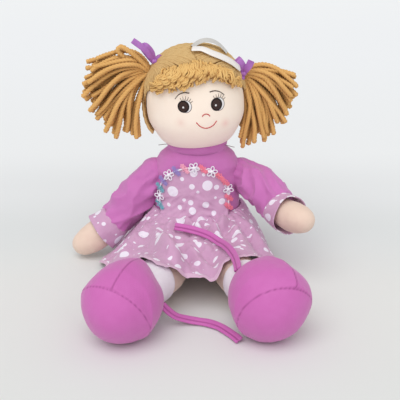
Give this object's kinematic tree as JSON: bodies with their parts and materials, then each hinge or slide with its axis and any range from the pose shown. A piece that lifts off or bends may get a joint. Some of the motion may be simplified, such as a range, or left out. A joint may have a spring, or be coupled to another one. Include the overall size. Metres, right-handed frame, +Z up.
{
  "type": "rag doll",
  "caption": "Soft cloth doll, seated with legs out, with yarn pigtails, dotted skirt, plush shoes; head, arms, legs and pigtails move.",
  "frame": {"origin": "on the floor, under the middle of the seat", "axes": "+Z up, the doll looks and stretches its legs along -Y, its own left is +X"},
  "size_m": [0.2462, 0.2993, 0.2341],
  "materials": {
    "skin_cloth": "brushed polyester jersey, peach",
    "yarn": "thick twisted wool yarn, light brown",
    "fringe_yarn": "curled fine yarn, honey",
    "purple_jersey": "knitted cotton jersey, orchid purple",
    "dotted_cotton": "woven cotton, mauve with white dots of many sizes",
    "shoe_cloth": "smooth brushed tricot, magenta",
    "sock_jersey": "white jersey",
    "purple_satin": "satin ribbon, purple",
    "white_satin": "satin ribbon, silvery white",
    "eye_print": "embroidered, dark brown",
    "brow_thread": "embroidery thread, brown",
    "red_thread": "embroidery thread, red",
    "flower_lace": "flower lace, white with coloured flowers between"
  },
  "bodies": {
    "torso": {"torso": "skin_cloth", "bodice": "purple_jersey", "collar": "purple_jersey", "bib": "dotted_cotton", "flower_trim": "flower_lace", "skirt": "dotted_cotton"},
    "neck": {"neck": "skin_cloth"},
    "head": {"head": "skin_cloth", "hair_cap": "yarn", "fringe": "fringe_yarn", "nose_stitch": "red_thread", "mouth_stitch": "red_thread", "crown_ribbon": "white_satin", "left_eye": "eye_print", "right_eye": "eye_print", "left_brow": "brow_thread", "right_brow": "brow_thread", "left_bow": "purple_satin", "right_bow": "purple_satin"},
    "left_pigtail": {"left_pigtail": "yarn"},
    "left_arm": {"left_arm": "skin_cloth", "left_sleeve": "purple_jersey", "left_cuff": "dotted_cotton"},
    "left_leg": {"left_leg": "skin_cloth", "left_sock": "sock_jersey", "left_shoe_sole": "shoe_cloth", "left_shoe_inner": "shoe_cloth", "left_shoe_outer": "shoe_cloth", "left_strap": "shoe_cloth"},
    "right_pigtail": {"right_pigtail": "yarn"},
    "right_arm": {"right_arm": "skin_cloth", "right_sleeve": "purple_jersey", "right_cuff": "dotted_cotton"},
    "right_leg": {"right_leg": "skin_cloth", "right_sock": "sock_jersey", "right_shoe_sole": "shoe_cloth", "right_shoe_inner": "shoe_cloth", "right_shoe_outer": "shoe_cloth", "right_strap": "shoe_cloth"}
  },
  "joints": [
    {"name": "neck_nod", "type": "hinge", "parent": "torso", "child": "neck", "pos_m": [0, 0.002, 0.128], "axis": [1, 0, 0], "range_deg": [-10, 10]},
    {"name": "head_turn", "type": "hinge", "parent": "neck", "child": "head", "pos_m": [0, 0.002, 0.128], "axis": [0, 0, 1], "range_deg": [-35, 35]},
    {"name": "left_pigtail_lift", "type": "hinge", "parent": "head", "child": "left_pigtail", "pos_m": [0.04552, 0.00342, 0.19598], "axis": [0, -1, 0], "range_deg": [0, 45]},
    {"name": "right_pigtail_lift", "type": "hinge", "parent": "head", "child": "right_pigtail", "pos_m": [-0.04757, -0.00306, 0.19961], "axis": [0, 1, 0], "range_deg": [0, 45]},
    {"name": "left_arm_swing", "type": "hinge", "parent": "torso", "child": "left_arm", "pos_m": [0.044, 0, 0.09], "axis": [1, 0, 0], "range_deg": [-30, 60]},
    {"name": "right_arm_swing", "type": "hinge", "parent": "torso", "child": "right_arm", "pos_m": [-0.044, 0, 0.09], "axis": [1, 0, 0], "range_deg": [-80, 15]},
    {"name": "left_hip", "type": "hinge", "parent": "torso", "child": "left_leg", "pos_m": [0.022, -0.028, 0.022], "axis": [1, 0, 0], "range_deg": [-25, 75], "deforming": ["skirt"]},
    {"name": "right_hip", "type": "hinge", "parent": "torso", "child": "right_leg", "pos_m": [-0.022, -0.028, 0.022], "axis": [1, 0, 0], "range_deg": [-25, 75]}
  ],
  "couplings": [
    {"joint": "right_hip", "follows": "left_hip", "ratio": 1}
  ]
}
